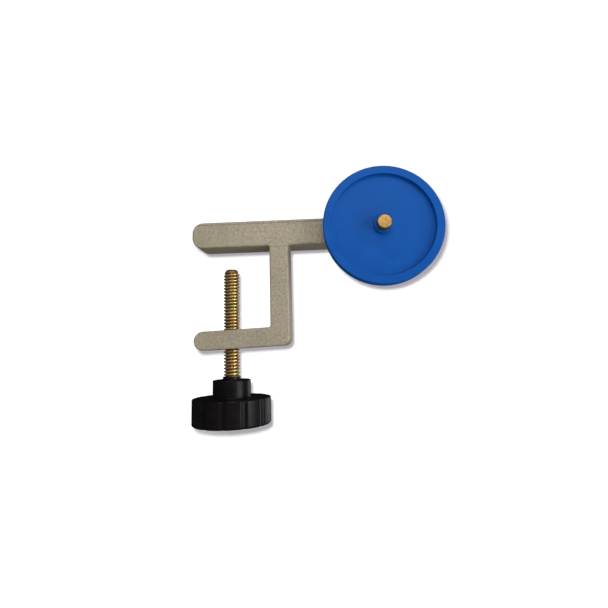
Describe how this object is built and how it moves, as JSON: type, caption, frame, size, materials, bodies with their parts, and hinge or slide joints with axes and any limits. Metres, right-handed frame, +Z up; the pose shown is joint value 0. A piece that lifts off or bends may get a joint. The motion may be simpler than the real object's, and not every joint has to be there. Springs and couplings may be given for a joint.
{
  "type": "bench clamp pulley",
  "caption": "Small grooved pulley on the end of a bench clamp, tightened from below by a screw with a fluted knob; guides a cord over a bench's edge.",
  "frame": {"origin": "on the underside of the upper jaw, where the clamp screw's axis meets it, at the frame's mid-depth", "axes": "+Z up along the clamp screw, +X from the clamp's mouth to the pulley, -Y the side that the pulley is on"},
  "size_m": [0.1, 0.0315, 0.0978],
  "materials": {
    "frame_paint": "satin warm silver paint over a casting",
    "yellow_zinc": "yellow passivated zinc plate",
    "black_plastic": "moulded, slightly glossy",
    "brass": "turned",
    "bronze": "oiled bearing bronze",
    "blue_plastic": "moulded, satin",
    "nylon": "plain",
    "clip_steel": "plain"
  },
  "bodies": {
    "frame": {"clamp_frame": "frame_paint", "axle_bush": "bronze", "front_washer": "nylon", "rear_washer": "clip_steel"},
    "wheel": {"pulley_wheel": "blue_plastic", "axle_pin": "brass", "retaining_clip": "clip_steel"},
    "screw_travel": {"knob_insert": "brass"},
    "screw": {"clamp_screw": "yellow_zinc", "knob": "black_plastic"}
  },
  "joints": [
    {"name": "pulley_spin", "type": "hinge", "parent": "frame", "child": "wheel", "pos_m": [0.0615, -0.01035, 0.0052], "axis": [0, 1, 0], "continuous": true},
    {"name": "screw_advance", "type": "slide", "parent": "frame", "child": "screw_travel", "axis": [0, 0, 1], "range_m": [-0.0229, 0.008]},
    {"name": "screw_turn", "type": "hinge", "parent": "screw_travel", "child": "screw", "pos_m": [0, 0, -0.0558], "axis": [0, 0, 1], "range_deg": [-6480, 2250]}
  ],
  "couplings": [
    {"joint": "screw_advance", "follows": "screw_turn", "m_per_rad": 0.00020213}
  ]
}
